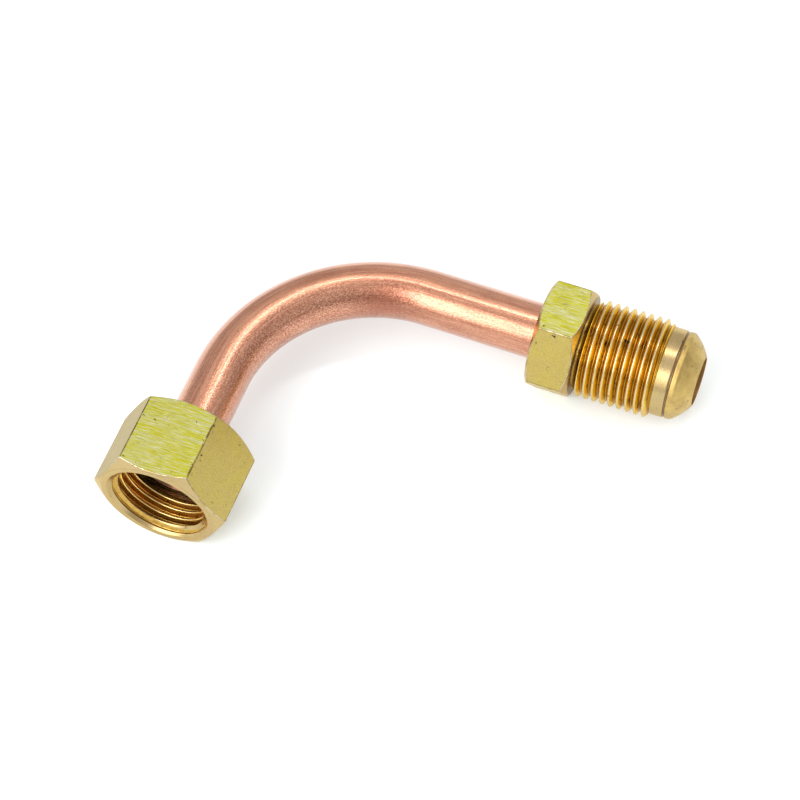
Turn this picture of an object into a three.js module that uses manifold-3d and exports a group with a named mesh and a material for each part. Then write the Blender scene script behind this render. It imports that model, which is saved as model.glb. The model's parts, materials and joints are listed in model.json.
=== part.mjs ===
// Copper pipe bend with a threaded connection at each end.
// One end is flared: a loose sleeve backs the flare and a swivel nut turns on the sleeve.
// The other end is brazed into a ball-nosed nipple, and a loose male nut pushes the nipple
// home through a thin slip washer.
// Units are millimetres, +Z is up, and the fitting lies on z = 0 as it would on a bench.
//
// The centre lines of the pipe's two straight ends cross at the corner point. Each end's
// parts are drawn on their own axis, with z as the distance outward from the corner point.

import * as THREE from 'three';
import { mergeVertices } from 'three/addons/utils/BufferGeometryUtils.js';
import Module from 'manifold-3d';

// Pipe
const PIPE_RADIUS = 6;
const PIPE_WALL = 1;
const BEND_RADIUS = 33.5;
const PIPE_SIDES = 24;
const BEND_STEPS = 18;

// Flare on the pipe's swivel-nut end
const FLARE_MOUTH = 58;
const FLARE_RADIUS = 8.5;
const FLARE_LIP = 0.6;
const FLARE_ROOT_OFFSET = 0.2;

// Pipe thread G 1/2, on both nuts
const THREAD_MAJOR = 20.955 / 2;
const THREAD_MINOR = 18.631 / 2;
const THREAD_PITCH = 25.4 / 14;
const THREAD_CREST = THREAD_PITCH / 6;
const THREAD_HALF_ANGLE = THREE.MathUtils.degToRad(27.5);
const THREAD_STEPS_PER_TURN = 20;

// Swivel nut
const NUT_FLATS = 25;
const NUT_BACK = 48.8;
const NUT_MOUTH = 66.6;
const NUT_TAIL_HOLE = 7.6;
const NUT_CHAMBER = 10;
const NUT_THREAD_START = 58.4;
const NUT_COUNTERSINK = 11;

// Flare sleeve
const SLEEVE_BORE = 6.3;
const SLEEVE_TAIL = 7.3;
const SLEEVE_HEAD = 9;
const SLEEVE_BACK = 49.6;
const SLEEVE_BEVEL_START = 52.8;
const SLEEVE_FRONT = 57;

// Male nut
const MALE_FLATS = 22;
const MALE_BACK = 58.1;
const MALE_HEX_FRONT = 67.45;
const MALE_UNDERCUT_END = 68.5;
const MALE_UNDERCUT = 9.1;
const MALE_THREAD_END = 84.6;
const MALE_COLLAR = 9.37;
const MALE_COLLAR_END = 87.4;
const MALE_BORE = 6.3;
const MALE_COUNTERBORE = 7.75;
const MALE_COUNTERBORE_START = 78.8;

// Slip washer between the male nut and the nipple
const WASHER_INNER = 7.7;
const WASHER_OUTER = 9.1;
const WASHER_THICKNESS = 0.29;

// Ball-nosed nipple
const NIPPLE_BACK = 80.5;
const NIPPLE_TAIL = 7.4;
const NIPPLE_HEAD_BACK = 87.75;
const NIPPLE_RIM = 9.3;
const NIPPLE_RIM_WIDTH = 1;
const NIPPLE_END = 92.5;
const NIPPLE_HOLE = 5.12;
const NIPPLE_SOCKET = 6.3;
const NIPPLE_SOCKET_END = 89.7;
const NIPPLE_STEPS = 8;

// Braze fillet between the nipple's tail and the pipe
const BRAZE_LEG = 1.2;

// Clearances and edges
const SEAT_GAP = 0.3;
const FINE_GAP = 0.03;
const SKIN_GAP = 0.05;
const EDGE_CHAMFER = 0.15;
const HEX_CHAMFER_CIRCLE = 0.97;
const HEX_CHAMFER_SLOPE = Math.tan(THREE.MathUtils.degToRad(30));
const BORE_CHAMFER = 0.7;
const TURNED_SIDES = 48;

const wasm = await Module();
wasm.setup();

// A closed solid for joining and cutting, from a geometry whose shared points are merged.
function solidOf(source) {
  const bare = source.clone();
  bare.deleteAttribute('normal');
  bare.deleteAttribute('uv');
  const merged = mergeVertices(bare, 1e-5);
  const corners = merged.index.array;
  const kept = [];
  for (let i = 0; i < corners.length; i += 3) {
    const [a, b, c] = [corners[i], corners[i + 1], corners[i + 2]];
    if (a !== b && b !== c && c !== a) kept.push(a, b, c);
  }
  const vertProperties = new Float32Array(merged.attributes.position.array);
  const triVerts = new Uint32Array(kept);
  return new wasm.Manifold(new wasm.Mesh({ numProp: 3, vertProperties, triVerts }));
}

function geometryOf(solid) {
  const mesh = solid.getMesh();
  const geometry = new THREE.BufferGeometry();
  geometry.setAttribute('position', new THREE.BufferAttribute(mesh.vertProperties, 3));
  geometry.setIndex(new THREE.BufferAttribute(mesh.triVerts, 1));
  const faceted = geometry.toNonIndexed();
  faceted.computeVertexNormals();
  return faceted;
}

// A turned shape about the z axis. The outline is a list of [radius, z] points, up the outside
// and down the inside. It starts and ends on the axis, or is closed here.
function turned(outline, sides = TURNED_SIDES) {
  const points = outline.map(([radius, z]) => new THREE.Vector2(radius, z));
  if (outline[0][0] > 0) points.push(points[0].clone());
  return new THREE.LatheGeometry(points, sides).rotateX(Math.PI / 2);
}

// A hexagon bar with its corners turned off at both ends, flats facing +X and -X.
function hexagonBar(flats, back, front) {
  const cornerRadius = flats / Math.sqrt(3);
  const bar = new THREE.CylinderGeometry(cornerRadius, cornerRadius, front - back, 6);
  bar.rotateX(Math.PI / 2).translate(0, 0, (front + back) / 2);
  const faceRadius = (flats / 2) * HEX_CHAMFER_CIRCLE;
  const clearRadius = cornerRadius + 1;
  const setback = (clearRadius - faceRadius) * HEX_CHAMFER_SLOPE;
  const envelope = turned([
    [0, back],
    [faceRadius, back],
    [clearRadius, back + setback],
    [clearRadius, front - setback],
    [faceRadius, front],
    [0, front],
  ]);
  return solidOf(bar).intersect(solidOf(envelope));
}

// The thread's helix. Its frames keep the ridge's section upright: x outward, y along the axis.
class ThreadPath extends THREE.Curve {
  constructor(start, turns) {
    super();
    this.start = start;
    this.turns = turns;
  }

  getPoint(t, target = new THREE.Vector3()) {
    const angle = 2 * Math.PI * this.turns * t;
    const z = this.start + THREAD_PITCH * this.turns * t;
    return target.set(THREAD_MINOR * Math.cos(angle), THREAD_MINOR * Math.sin(angle), z);
  }

  computeFrenetFrames(segments) {
    const frames = { tangents: [], normals: [], binormals: [] };
    for (let i = 0; i <= segments; i += 1) {
      const angle = (2 * Math.PI * this.turns * i) / segments;
      frames.tangents.push(new THREE.Vector3(-Math.sin(angle), Math.cos(angle), 0));
      frames.normals.push(new THREE.Vector3(Math.cos(angle), Math.sin(angle), 0));
      frames.binormals.push(new THREE.Vector3(0, 0, -1));
    }
    return frames;
  }
}

// A right-hand threaded rod from one z to another, with both ends chamfered to the root.
function threadedRod(from, to) {
  const height = THREAD_MAJOR - THREAD_MINOR;
  const embed = 0.25;
  const crest = THREAD_CREST / 2;
  const root = crest + height * Math.tan(THREAD_HALF_ANGLE);
  const foot = root + embed * Math.tan(THREAD_HALF_ANGLE);
  const section = new THREE.Shape([
    new THREE.Vector2(-embed, -foot),
    new THREE.Vector2(height, -crest),
    new THREE.Vector2(height, crest),
    new THREE.Vector2(-embed, foot),
  ]);
  const turns = Math.ceil((to - from) / THREAD_PITCH) + 1;
  const steps = turns * THREAD_STEPS_PER_TURN;
  const extrudePath = new ThreadPath(from - THREAD_PITCH / 2, turns);
  const ridge = new THREE.ExtrudeGeometry(section, { steps, extrudePath });
  const core = turned(
    [[0, from - THREAD_PITCH], [THREAD_MINOR, from - THREAD_PITCH], [THREAD_MINOR, to], [0, to]],
    2 * THREAD_STEPS_PER_TURN,
  );
  const envelope = turned([
    [0, from],
    [THREAD_MINOR, from],
    [THREAD_MAJOR + embed, from + height + embed],
    [THREAD_MAJOR + embed, to - height - embed],
    [THREAD_MINOR, to],
    [0, to],
  ]);
  return solidOf(core).add(solidOf(ridge)).intersect(solidOf(envelope));
}

// The pipe is turned straight, flare included, and then bent: a point's height along the
// straight pipe becomes its distance along the centre line.
function pipe() {
  const inner = PIPE_RADIUS - PIPE_WALL;
  const flareBack = FLARE_MOUTH - FLARE_LIP;
  const outerRoot = flareBack - (FLARE_RADIUS - PIPE_RADIUS);
  const innerRoot = outerRoot + FLARE_ROOT_OFFSET;
  const bendLength = (Math.PI / 2) * BEND_RADIUS;
  const toNipple = NIPPLE_SOCKET_END - SEAT_GAP;

  // Distances run from the bend's start: negative on the flared leg, positive along the bend.
  const along = (distanceFromCorner) => BEND_RADIUS - distanceFromCorner;
  const stations = Array.from({ length: BEND_STEPS + 1 }, (_, i) => (bendLength * i) / BEND_STEPS);
  const far = bendLength + toNipple - BEND_RADIUS;
  const outline = [
    [inner, along(innerRoot)],
    [FLARE_RADIUS - FLARE_LIP, along(FLARE_MOUTH)],
    [FLARE_RADIUS, along(flareBack)],
    [PIPE_RADIUS, along(outerRoot)],
    ...stations.map((distance) => [PIPE_RADIUS, distance]),
    [PIPE_RADIUS, far],
    [inner, far],
    ...stations.toReversed().map((distance) => [inner, distance]),
  ];
  const points = outline.map(([radius, distance]) => new THREE.Vector2(radius, distance));
  points.push(points[0].clone());
  const geometry = new THREE.LatheGeometry(points, PIPE_SIDES);

  const position = geometry.attributes.position;
  for (let i = 0; i < position.count; i += 1) {
    const distance = position.getY(i);
    const angle = THREE.MathUtils.clamp(distance / BEND_RADIUS, 0, Math.PI / 2);
    const straight = distance - angle * BEND_RADIUS;
    const toCentre = position.getX(i) - BEND_RADIUS;
    position.setX(i, BEND_RADIUS + toCentre * Math.cos(angle) + straight * Math.sin(angle));
    position.setY(i, -BEND_RADIUS - toCentre * Math.sin(angle) + straight * Math.cos(angle));
  }
  geometry.computeVertexNormals();
  return geometry;
}

function flareSleeve() {
  const coneGap = SEAT_GAP * Math.SQRT2;
  const flareRoot = FLARE_MOUTH - FLARE_LIP - (FLARE_RADIUS - PIPE_RADIUS);
  const coneStart = flareRoot + (SLEEVE_BORE - PIPE_RADIUS) - coneGap;
  const bevelEnd = SLEEVE_BEVEL_START + (SLEEVE_HEAD - SLEEVE_TAIL);
  return turned([
    [SLEEVE_BORE, SLEEVE_BACK],
    [SLEEVE_TAIL, SLEEVE_BACK],
    [SLEEVE_TAIL, SLEEVE_BEVEL_START],
    [SLEEVE_HEAD, bevelEnd],
    [SLEEVE_HEAD, SLEEVE_FRONT],
    [SLEEVE_BORE + SLEEVE_FRONT - coneStart, SLEEVE_FRONT],
    [SLEEVE_BORE, coneStart],
  ]);
}

function swivelNut() {
  const sleeveLine = SLEEVE_BEVEL_START - SLEEVE_TAIL - SEAT_GAP * Math.SQRT2;
  const past = 1;
  const bore = turned([
    [0, NUT_BACK - past],
    [NUT_TAIL_HOLE, NUT_BACK - past],
    [NUT_TAIL_HOLE, NUT_TAIL_HOLE + sleeveLine],
    [NUT_CHAMBER, NUT_CHAMBER + sleeveLine],
    [NUT_CHAMBER, NUT_THREAD_START],
    [0, NUT_THREAD_START],
  ]);
  const countersink = turned([
    [0, NUT_MOUTH - NUT_COUNTERSINK],
    [NUT_COUNTERSINK, NUT_MOUTH],
    [NUT_COUNTERSINK, NUT_MOUTH + past],
    [0, NUT_MOUTH + past],
  ]);
  const tap = threadedRod(NUT_THREAD_START - THREAD_PITCH, NUT_MOUTH + 2 * THREAD_PITCH);
  const body = hexagonBar(NUT_FLATS, NUT_BACK, NUT_MOUTH);
  return geometryOf(body.subtract(solidOf(bore)).subtract(tap).subtract(solidOf(countersink)));
}

function maleNut() {
  const past = 1;
  const hexagon = hexagonBar(MALE_FLATS, MALE_BACK, MALE_HEX_FRONT);
  const neck = turned([
    [0, MALE_HEX_FRONT - past],
    [MALE_UNDERCUT, MALE_HEX_FRONT - past],
    [MALE_UNDERCUT, MALE_UNDERCUT_END + past],
    [0, MALE_UNDERCUT_END + past],
  ]);
  const collar = turned([
    [0, MALE_THREAD_END - past],
    [MALE_COLLAR, MALE_THREAD_END - past],
    [MALE_COLLAR, MALE_COLLAR_END - EDGE_CHAMFER],
    [MALE_COLLAR - EDGE_CHAMFER, MALE_COLLAR_END],
    [0, MALE_COLLAR_END],
  ]);
  const bore = turned([
    [0, MALE_BACK - past],
    [MALE_BORE + BORE_CHAMFER + past, MALE_BACK - past],
    [MALE_BORE, MALE_BACK + BORE_CHAMFER],
    [MALE_BORE, MALE_COUNTERBORE_START],
    [MALE_COUNTERBORE, MALE_COUNTERBORE_START],
    [MALE_COUNTERBORE, MALE_COLLAR_END + past],
    [0, MALE_COLLAR_END + past],
  ]);
  const thread = threadedRod(MALE_UNDERCUT_END, MALE_THREAD_END);
  const outside = hexagon.add(solidOf(neck)).add(thread).add(solidOf(collar));
  return geometryOf(outside.subtract(solidOf(bore)));
}

function slipWasher() {
  const back = MALE_COLLAR_END + FINE_GAP;
  return turned([
    [WASHER_INNER, back],
    [WASHER_OUTER, back],
    [WASHER_OUTER, back + WASHER_THICKNESS],
    [WASHER_INNER, back + WASHER_THICKNESS],
  ]);
}

// The nose is part of a ball centred on the axis. The ball's centre is as far from the
// rim's front edge as from the hole's front edge.
function nipple() {
  const domeStart = NIPPLE_HEAD_BACK + EDGE_CHAMFER + NIPPLE_RIM_WIDTH;
  const domeLength = NIPPLE_END - domeStart;
  const rise = (domeLength + (NIPPLE_HOLE ** 2 - NIPPLE_RIM ** 2) / domeLength) / 2;
  const centre = domeStart + rise;
  const ballRadius = Math.hypot(NIPPLE_RIM, rise);
  const from = Math.atan2(domeStart - centre, NIPPLE_RIM);
  const to = Math.atan2(NIPPLE_END - centre, NIPPLE_HOLE);
  const dome = Array.from({ length: NIPPLE_STEPS + 1 }, (_, i) => {
    const angle = from + (to - from) * (i / NIPPLE_STEPS);
    return [ballRadius * Math.cos(angle), centre + ballRadius * Math.sin(angle)];
  });
  return turned([
    [NIPPLE_SOCKET, NIPPLE_BACK],
    [NIPPLE_TAIL, NIPPLE_BACK],
    [NIPPLE_TAIL, NIPPLE_HEAD_BACK],
    [NIPPLE_RIM - EDGE_CHAMFER, NIPPLE_HEAD_BACK],
    [NIPPLE_RIM, NIPPLE_HEAD_BACK + EDGE_CHAMFER],
    ...dome,
    [NIPPLE_HOLE, NIPPLE_SOCKET_END],
    [NIPPLE_SOCKET, NIPPLE_SOCKET_END],
  ]);
}

function brazeFillet() {
  const inner = PIPE_RADIUS + SKIN_GAP;
  const front = NIPPLE_BACK - SKIN_GAP;
  return turned([[inner, front - BRAZE_LEG], [inner + BRAZE_LEG, front], [inner, front]]);
}

function part(name, geometry, color, roughness, metalness = 1) {
  const material = new THREE.MeshStandardMaterial({ color, roughness, metalness });
  const mesh = new THREE.Mesh(geometry, material);
  mesh.name = name;
  return mesh;
}

// An axis group turns the parts' z axis to point outward from the corner point.
function outwardAxis(turnAxis, ...parts) {
  const group = new THREE.Group();
  group.rotation[turnAxis] = Math.PI / 2;
  group.add(...parts);
  return group;
}

// The pipe leans about the swivel nut's axis until the male nut's lower front edge meets the
// bench that the swivel nut's flat lies on.
function leanAngle() {
  const edgeAlong = MALE_HEX_FRONT - (MALE_FLATS / 2) * (1 - HEX_CHAMFER_CIRCLE) * HEX_CHAMFER_SLOPE;
  const edgeRadius = MALE_FLATS / 2;
  const reach = Math.hypot(edgeAlong, edgeRadius);
  return Math.asin(NUT_FLATS / 2 / reach) - Math.atan2(edgeRadius, edgeAlong);
}

const swivel = part('swivel_nut', swivelNut(), 0xc9b455, 0.32);
swivel.rotation.z = Math.PI / 2;

const flaredEnd = outwardAxis(
  'x',
  part('flare_sleeve', flareSleeve(), 0xc2a25a, 0.3),
  swivel,
);

const noseEnd = outwardAxis(
  'y',
  part('male_nut', maleNut(), 0xc9ae50, 0.3),
  part('slip_washer', slipWasher(), 0x4a3a30, 0.5, 0.8),
  part('ball_nose_nipple', nipple(), 0xcdb068, 0.28),
  part('braze_fillet', brazeFillet(), 0xb9a58c, 0.45),
);

const leaning = new THREE.Group();
leaning.rotation.y = leanAngle();
leaning.add(part('bent_pipe', pipe(), 0xcd8c73, 0.35), noseEnd);

const assembly = new THREE.Group();
assembly.add(flaredEnd, leaning);

// The origin is the middle of the fitting's footprint, on the bench.
const extent = new THREE.Box3().setFromObject(assembly, true);
const middle = extent.getCenter(new THREE.Vector3());
assembly.position.set(-middle.x, -middle.y, NUT_FLATS / 2);

const fitting = new THREE.Group();
fitting.add(assembly);

export default fitting;
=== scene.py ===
"""Copper pipe bend with a flared swivel-nut end and a ball-nosed male-nut end.

Every piece is a surface worked out on a grid. A ring's grid has one column for each angle about
its axis and one row for each point of its outline, and it closes on itself both ways.
"""

import json
import math

import bpy
import numpy as np
from bpy.props import FloatProperty, FloatVectorProperty, PointerProperty
from bpy.types import Operator, Panel, PropertyGroup
from mathutils import Matrix, Vector


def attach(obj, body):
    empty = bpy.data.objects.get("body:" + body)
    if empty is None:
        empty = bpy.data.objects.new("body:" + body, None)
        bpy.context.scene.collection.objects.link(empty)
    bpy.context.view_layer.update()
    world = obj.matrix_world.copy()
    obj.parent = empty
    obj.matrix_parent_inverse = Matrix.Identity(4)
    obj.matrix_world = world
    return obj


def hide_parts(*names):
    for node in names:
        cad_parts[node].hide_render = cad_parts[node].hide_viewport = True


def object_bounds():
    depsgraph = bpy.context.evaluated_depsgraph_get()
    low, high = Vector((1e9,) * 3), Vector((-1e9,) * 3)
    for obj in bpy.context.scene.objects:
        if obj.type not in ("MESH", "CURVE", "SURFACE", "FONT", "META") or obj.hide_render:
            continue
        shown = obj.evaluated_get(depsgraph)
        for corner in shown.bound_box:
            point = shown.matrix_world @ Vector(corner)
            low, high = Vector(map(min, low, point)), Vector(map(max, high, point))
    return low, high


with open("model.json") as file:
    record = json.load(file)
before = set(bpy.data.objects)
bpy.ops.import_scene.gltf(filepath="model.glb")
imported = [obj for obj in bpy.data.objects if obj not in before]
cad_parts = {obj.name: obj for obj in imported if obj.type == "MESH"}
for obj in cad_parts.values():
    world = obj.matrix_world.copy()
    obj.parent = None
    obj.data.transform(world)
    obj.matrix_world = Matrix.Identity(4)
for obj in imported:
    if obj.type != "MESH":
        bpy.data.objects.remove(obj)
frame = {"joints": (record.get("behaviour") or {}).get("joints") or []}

bl_info = {
    "name": "Flare Fitting Maker",
    "version": (1, 0, 0),
    "blender": (4, 5, 0),
    "location": "3D View > Sidebar > Fitting",
    "description": "Makes a bent copper pipe with a swivel nut and a ball-nosed male nut",
    "category": "Add Mesh",
}

CAD_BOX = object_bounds()
MM = 0.001
MM_PER_M = (1000, 1000, 1000)

# Zones of an outline. A row's zone chooses its finish.
TURNED, FLAT, CHAMFER, THREAD, DEEP, SHOULDER, UNDERCUT = range(7)
HOLLOW = 1

HALF_THREAD_ANGLE = math.radians(27.5)
ROWS_PER_TURN = 24
CHAMFER_ANGLE = math.radians(30)
CHAMFER_SHARE = 0.97  # a chamfer's circle, as a share of half the flats
HEX_EDGE = 0.18 * MM
PIPE_COLUMNS = 112
BRAZE_COLUMNS = 144
SHARPEST_TURN = -0.99  # cosine of the sharpest corner that is rounded
ROOM_SHARE = 0.4  # the most of a side that one rounded corner takes
GUARD_SHARE = 1.6  # from a hexagon's corner to its guard column, in corner arcs
SIDE_SHIFT = 7.0  # between the milling patterns of two sides, in mm

# Milling lines, then the flecks between them: marks in a mm across a flat and along the nut,
# and the share of the side's shift.
LINES_ACROSS = (0.08, 3.0, 1.0), (0.32, 6.5, 1.0)
LINES_ALONG = (2.8, 0.07, 1.0), (6.0, 0.30, 1.0)

# Second tones of the finishes.
COPPER_GLINT = (0.80, 0.47, 0.33)
COPPER_PIT = (0.22, 0.08, 0.04)
COPPER_IN_SHADE = (0.11, 0.038, 0.014)
PALE_FLECK = (0.66, 0.65, 0.54)
OLIVE_FLECK = (0.38, 0.34, 0.03)
SMUDGE = (0.30, 0.29, 0.20)
GOLD_GRAIN = (0.37, 0.28, 0.06)
# Painted shade on one side of the swivel nut.
SHADE_SIDE_GOLD = (0.16, 0.13, 0.065)
TURNED_GRAIN = (0.42, 0.27, 0.11)
TURNED_MARK = (0.10, 0.06, 0.02)
EDGE_DARK = (0.10, 0.055, 0.02)
HOLLOW_BROWN = (0.44, 0.24, 0.085)
BRASS_TINT = (1.0, 0.90, 0.72, 1.0)
SLEEVE_LIGHT, SLEEVE_DARK = (0.50, 0.37, 0.14), (0.42, 0.29, 0.09)
NOSE_DARK = (0.43, 0.29, 0.10)
WASHER_DARK = (0.20, 0.12, 0.06)
BRAZE_DARK = (0.34, 0.24, 0.16)

FLOOR_HALF = 3.0
LAMP_DISTANCE = 1.2
LAMP_TARGET = Vector((0, 0, 0.01))
# Name, azimuth and elevation in degrees, size in m, turn in degrees, radiance.
LAMPS = (
    ("window", -141, 37, (1.35, 1.05), 0, 3.6),
    ("strip", 8, 70, (0.085, 0.75), -45, 10.5),
)
# A direction, the cosines where its share starts and is full, and what it adds.
ROOM_SIDES = (
    ((0, 0, 1), 0.6, 1.0, 0.3),
    ((0.68, -0.68, 0.3), 0.84, 0.98, -0.28),
    ((0.96, 0.24, 0.14), 0.88, 0.98, -0.35),
    ((-0.7, 0.55, 0.4), 0.85, 1.0, -0.2),
)


# ---- places from the frame


def joint(name):
    """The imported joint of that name."""
    return next(j for j in frame["joints"] if j["name"] == name)


def corner_point():
    """Where the two legs' axes cross: on the male nut's axis, level with the swivel nut's."""
    nut = joint("swivel_nut_spin")
    male = joint("male_nut_spin")
    place, axis = Vector(male["pos_m"]), Vector(male["axis"])
    return place + axis * ((nut["pos_m"][0] - place.x) / axis.x)


def axis_frame(outward):
    """The matrix from a leg's own frame to the row frame: z outward from the corner, y up."""
    z = Vector(outward).normalized()
    x = Vector((0, 0, 1)).cross(z).normalized()
    y = z.cross(x)
    turn = Matrix((x, y, z)).transposed().to_4x4()
    return Matrix.Translation(corner_point()) @ turn


FLARED_LEG = axis_frame(joint("swivel_nut_spin")["axis"])
NOSE_LEG = axis_frame(joint("male_nut_spin")["axis"])


# ---- sizes and colours


def length(name, description, default_mm):
    """A length property, given in millimetres and kept in metres."""
    return FloatProperty(
        name=name, description=description, default=default_mm * MM,
        min=0.0, subtype="DISTANCE", unit="LENGTH", precision=5,
    )


def colour(name, description, default):
    """A linear colour property."""
    return FloatVectorProperty(
        name=name, description=description, default=default,
        size=3, min=0.0, max=1.0, subtype="COLOR",
    )


class FITTING_PG_pipe(PropertyGroup):
    """Sizes and colours of the copper pipe."""

    radius: length("Radius", "Outside radius of the pipe", 6.0)
    wall: length("Wall", "Wall thickness", 1.0)
    bend_radius: length("Bend radius", "From the bend's centre to the centre line", 33.5)
    flare_mouth: length("Flare mouth", "Flare's front, from the corner point", 58.0)
    flare_radius: length("Flare radius", "Outside radius of the flare", 8.5)
    flare_lip: length("Flare lip", "How far the lip is cut back", 0.6)
    nose_end: length("Nose end", "Pipe's end in the nipple, from the corner point", 89.4)
    flattening: FloatProperty(
        name="Flattening", description="How much the bend narrows in its own plane",
        default=0.022, min=0.0, max=0.2, subtype="FACTOR",
    )
    bright: colour("Bright copper", "Freshly drawn metal", (0.66, 0.315, 0.19))
    dull: colour("Dull copper", "Handled metal between the bright lines", (0.47, 0.19, 0.11))
    tarnished: colour("Tarnish", "Red-brown patch inside the bend", (0.30, 0.085, 0.045))


class FITTING_PG_thread(PropertyGroup):
    """The pipe thread that both nuts have."""

    major: length("Major radius", "Crest radius of the outside thread", 10.4775)
    minor: length("Minor radius", "Root radius of the outside thread", 9.3155)
    pitch: length("Pitch", "Distance from crest to crest", 25.4 / 14)


class FITTING_PG_swivel_nut(PropertyGroup):
    """Sizes of the swivel nut."""

    flats: length("Across flats", "Distance between opposite flats", 25.0)
    back: length("Back", "Back face, from the corner point", 48.8)
    mouth: length("Mouth", "Front face, from the corner point", 66.6)
    tail_hole: length("Tail hole", "Radius of the hole that the sleeve's tail passes", 7.6)
    chamber: length("Chamber", "Radius behind the thread", 10.0)
    thread_start: length("Thread start", "Inner end of the thread, from the corner point", 58.4)
    countersink: length("Countersink", "Radius of the countersink at the mouth", 11.0)


class FITTING_PG_sleeve(PropertyGroup):
    """Sizes of the flare sleeve."""

    bore: length("Bore", "Radius that slides on the pipe", 6.3)
    tail: length("Tail", "Outside radius of the tail", 7.3)
    head: length("Head", "Outside radius of the head", 9.0)
    back: length("Back", "Tail's end, from the corner point", 49.6)
    bevel_start: length("Bevel start", "Where the head's bevel starts", 52.8)
    front: length("Front", "Head's front, from the corner point", 57.0)


class FITTING_PG_male_nut(PropertyGroup):
    """Sizes of the male nut."""

    flats: length("Across flats", "Distance between opposite flats", 22.0)
    back: length("Back", "Back face, from the corner point", 58.1)
    hex_front: length("Hexagon front", "Front of the hexagon, from the corner point", 67.45)
    neck: length("Undercut", "Radius of the undercut behind the hexagon", 9.1)
    thread_start: length("Thread start", "First turn, from the corner point", 68.5)
    thread_end: length("Thread end", "Last turn, from the corner point", 84.6)
    collar: length("Collar", "Radius of the plain collar", 9.37)
    collar_end: length("Collar end", "Front of the collar, from the corner point", 87.4)
    bore: length("Bore", "Radius that slides on the pipe", 6.3)
    counterbore: length("Counterbore", "Radius that clears the nipple's tail", 7.75)
    counterbore_start: length("Counterbore start", "Shoulder, from the corner point", 78.8)


class FITTING_PG_nipple(PropertyGroup):
    """Sizes of the ball-nosed nipple and of the rings that go with it."""

    back: length("Back", "Tail's end, from the corner point", 80.5)
    tail: length("Tail", "Outside radius of the tail", 7.4)
    head_back: length("Head back", "Back of the head, from the corner point", 87.75)
    rim: length("Rim", "Outside radius of the rim", 9.3)
    rim_width: length("Rim width", "Width of the plain rim", 1.0)
    end: length("End", "Front of the nose, from the corner point", 92.5)
    hole: length("Hole", "Radius of the hole in the nose", 5.12)
    socket: length("Socket", "Radius of the pipe socket", 6.3)
    socket_end: length("Socket end", "Bottom of the socket, from the corner point", 89.7)
    washer_inner: length("Washer hole", "Radius of the slip washer's hole", 7.7)
    washer_outer: length("Washer radius", "Outside radius of the slip washer", 9.1)
    washer_back: length("Washer back", "Back of the slip washer", 87.43)
    washer_thickness: length("Washer thickness", "Thickness of the slip washer", 0.29)
    braze_leg: length("Braze leg", "Leg of the braze fillet", 1.2)


class FITTING_PG_finish(PropertyGroup):
    """Colours of the brass, the steel and the braze."""

    # Painted light: the top flats are a brighter yellow than the others, as lit from above.
    milled_lit_yellow: colour("Milled flats", "Bright yellow of the top flats", (0.54, 0.51, 0.018))
    milled_pale: colour("Milling lines", "Pale lines on the top flats", (0.56, 0.55, 0.33))
    gold: colour("Gold flats", "Gold of the other flats", (0.51, 0.40, 0.11))
    turned_gold: colour("Turned brass", "Warm gold of the turned faces", (0.465, 0.335, 0.168))
    nose_gold: colour("Nose", "Satin brass of the nose", (0.62, 0.445, 0.15))
    crest: colour("Thread crests", "Pale rubbed metal on the thread's crests", (0.58, 0.475, 0.28))
    flank: colour("Thread flanks", "Amber flanks of the outside thread", (0.77, 0.515, 0.06))
    inner_flank: colour("Inside flanks", "Orange flanks of the inside thread", (1.0, 0.62, 0.13))
    # Brown oil stain in the thread's roots, darkened further as painted shade of the groove.
    root: colour("Thread roots", "Brown film at the bottom of the thread", (0.26, 0.105, 0.014))
    # Burnt-oil streaks on the thread; the same dark colour is painted as shade in the swivel nut's
    # chamber and on the male nut's shoulder.
    shade_and_film: colour("Dark film", "Burnt oil beside the thread", (0.075, 0.030, 0.012))
    # Painted highlight: the bright line along edges, edge wear that also stands for the light a
    # rounded edge catches.
    worn_glint: colour("Worn edges", "Bright line where an edge is rubbed", (0.92, 0.90, 0.82))
    stain: colour("Stain", "Dark specks and pits", (0.05, 0.035, 0.02))
    washer: colour("Washer", "Browned steel", (0.30, 0.19, 0.10))
    braze: colour("Braze", "Dull braze metal", (0.46, 0.34, 0.25))


class FITTING_PG_stage(PropertyGroup):
    """The camera and the floor."""

    azimuth: FloatProperty(
        name="Azimuth", description="Camera's turn about +Z, from looking along +Y",
        default=math.radians(22.9), subtype="ANGLE",
    )
    elevation: FloatProperty(
        name="Elevation", description="Camera's height above the horizon",
        default=math.radians(56.91), subtype="ANGLE",
    )
    roll: FloatProperty(
        name="Roll", description="Camera's turn about its own axis",
        default=math.radians(-2.44), subtype="ANGLE",
    )
    distance: length("Distance", "From the camera to the point it looks at", 520.2)
    aim_right: length("Aim right", "Aim point, right of the corner point", 23.5)
    aim_near: length("Aim near", "Aim point, nearer than the corner point", 38.72)
    focal: FloatProperty(
        name="Focal length", description="Lens for a 36 mm wide sensor",
        default=114.55, min=1.0, subtype="DISTANCE_CAMERA",
    )
    floor_colour: colour("Floor", "Colour of the floor", (0.76, 0.80, 0.81))


# ---- surfaces


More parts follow.
